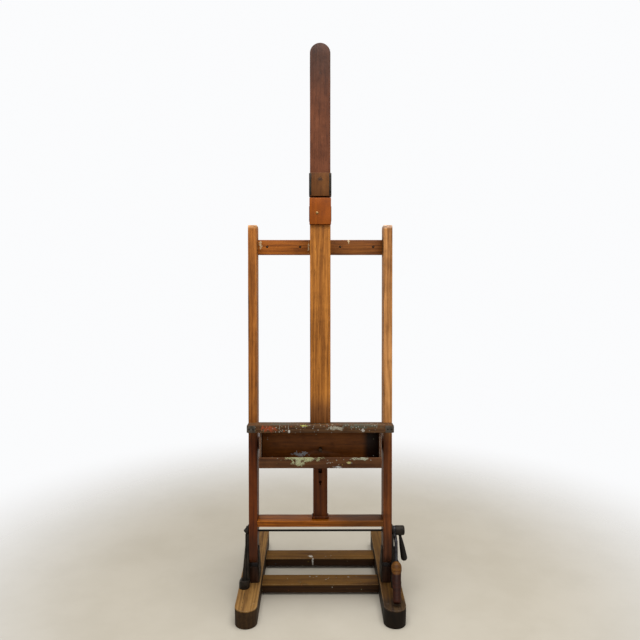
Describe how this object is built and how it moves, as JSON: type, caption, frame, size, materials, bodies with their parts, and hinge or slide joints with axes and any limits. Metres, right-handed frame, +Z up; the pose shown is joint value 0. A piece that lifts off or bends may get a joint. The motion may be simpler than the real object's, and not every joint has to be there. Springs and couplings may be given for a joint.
{
  "type": "studio easel",
  "caption": "Heavy wooden H-frame studio easel on two sled runners: the frame tilts on its feet, and a paint tray with its mast slides up a drilled centre post.",
  "frame": {"origin": "on the floor, at the centre of the bounding box in plan", "axes": "+X to the right as seen from the front, -Y out of the front, +Z up"},
  "size_m": [0.6658, 0.68, 2.1727],
  "materials": {
    "runner_wood": "worn tan oak, dark on its front and side faces",
    "stub_wood": "dark red-brown stained wood",
    "upright_wood": "aged oak, orange-brown above and darker below",
    "rail_wood": "worn oak, amber on its front edge",
    "crossbar_wood": "varnished orange-brown wood",
    "post_wood": "dark brown stained wood",
    "mast_wood": "golden oak with a long grain, darker at its foot",
    "head_wood": "bright orange-brown varnish",
    "extension_wood": "dark red-brown stained wood",
    "ledge_wood": "dark brown wood, spattered with dried oil paint",
    "box_wood": "dark red-brown wood with smears of dried paint",
    "grip_wood": "turned wood, worn golden on the bulb and red-brown below",
    "black_iron": "aged black iron",
    "bright_steel": "worn blue-grey steel",
    "strap_metal": "dull grey sheet metal, dented and paint-marked"
  },
  "bodies": {
    "base": {"left_runner": "runner_wood", "right_runner": "runner_wood", "front_rail": "runner_wood", "rear_rail": "runner_wood", "rail_bolts": "black_iron", "left_stub": "stub_wood", "right_stub": "stub_wood", "left_cheeks": "black_iron", "right_cheeks": "black_iron", "stub_bolts": "black_iron", "foot_pivots": "black_iron", "left_shoe": "black_iron", "right_shoe": "black_iron", "shoe_screws": "black_iron", "left_quadrant": "black_iron", "right_quadrant": "black_iron", "left_stay": "black_iron", "quadrant_screws": "black_iron"},
    "frame": {"left_upright": "upright_wood", "right_upright": "upright_wood", "crossbar": "crossbar_wood", "crossbar_screws": "black_iron", "lower_rail": "rail_wood", "lower_rail_screws": "black_iron", "centre_post": "post_wood", "post_plinth": "post_wood", "tie_rod": "black_iron", "rod_nut": "black_iron", "rod_washers": "black_iron"},
    "clamp": {"clamp_boss": "black_iron", "clamp_handle": "black_iron"},
    "lever": {"lever_arm": "bright_steel", "lever_ferrule": "bright_steel", "lever_grip": "grip_wood"},
    "tray": {"tray_ledge": "ledge_wood", "left_ledge_strap": "strap_metal", "right_ledge_strap": "strap_metal", "strap_screws": "black_iron", "box_back": "box_wood", "box_bottom": "box_wood", "left_box_side": "box_wood", "right_box_side": "box_wood", "box_front": "box_wood", "rear_batten": "box_wood", "catch_plate": "black_iron", "upper_guide_block": "upright_wood", "lower_guide_block": "upright_wood", "upper_keeper": "black_iron", "lower_keeper": "black_iron", "keeper_screws": "black_iron", "mast_board": "mast_wood", "head_block": "head_wood", "mast_keeper": "black_iron", "mast_bolt": "black_iron"},
    "catch": {"catch_pin": "black_iron"},
    "mast_wing": {"mast_nut": "black_iron"},
    "extension": {"extension_mast": "extension_wood"},
    "clip": {"clip_block": "head_wood", "clip_strap": "black_iron"},
    "clip_screw": {"clip_thumbscrew": "black_iron"}
  },
  "joints": [
    {"name": "frame_tilt", "type": "hinge", "parent": "base", "child": "frame", "pos_m": [-0.01288, -0.125, 0.2], "axis": [-1, 0, 0], "range_deg": [0, 12]},
    {"name": "tray_lift", "type": "slide", "parent": "frame", "child": "tray", "axis": [0, 0.1019, 0.9948], "range_m": [-0.046, 0.276]},
    {"name": "catch_plunger", "type": "slide", "parent": "tray", "child": "catch", "axis": [0, 0.9948, -0.1019], "range_m": [0, 0.016]},
    {"name": "mast_nut_turn", "type": "hinge", "parent": "tray", "child": "mast_wing", "pos_m": [-0.02488, -0.00487, 1.51963], "axis": [0, 0.9948, -0.1019], "continuous": true},
    {"name": "mast_extension", "type": "slide", "parent": "tray", "child": "extension", "axis": [0, 0.1019, 0.9948], "range_m": [0, 0.25]},
    {"name": "clip_height", "type": "slide", "parent": "extension", "child": "clip", "axis": [0, 0.1019, 0.9948], "range_m": [0, 0.42]},
    {"name": "clip_screw_turn", "type": "hinge", "parent": "clip", "child": "clip_screw", "pos_m": [-0.01288, 0.00818, 1.62736], "axis": [0, 0.9948, -0.1019], "continuous": true},
    {"name": "clamp_turn", "type": "hinge", "parent": "frame", "child": "clamp", "pos_m": [0.29892, -0.11654, 0.28257], "axis": [1, 0, 0], "range_deg": [-70, 70]},
    {"name": "lever_swing", "type": "hinge", "parent": "frame", "child": "lever", "pos_m": [0.27912, -0.11654, 0.28257], "axis": [-1, 0, 0], "range_deg": [0, 110]}
  ]
}
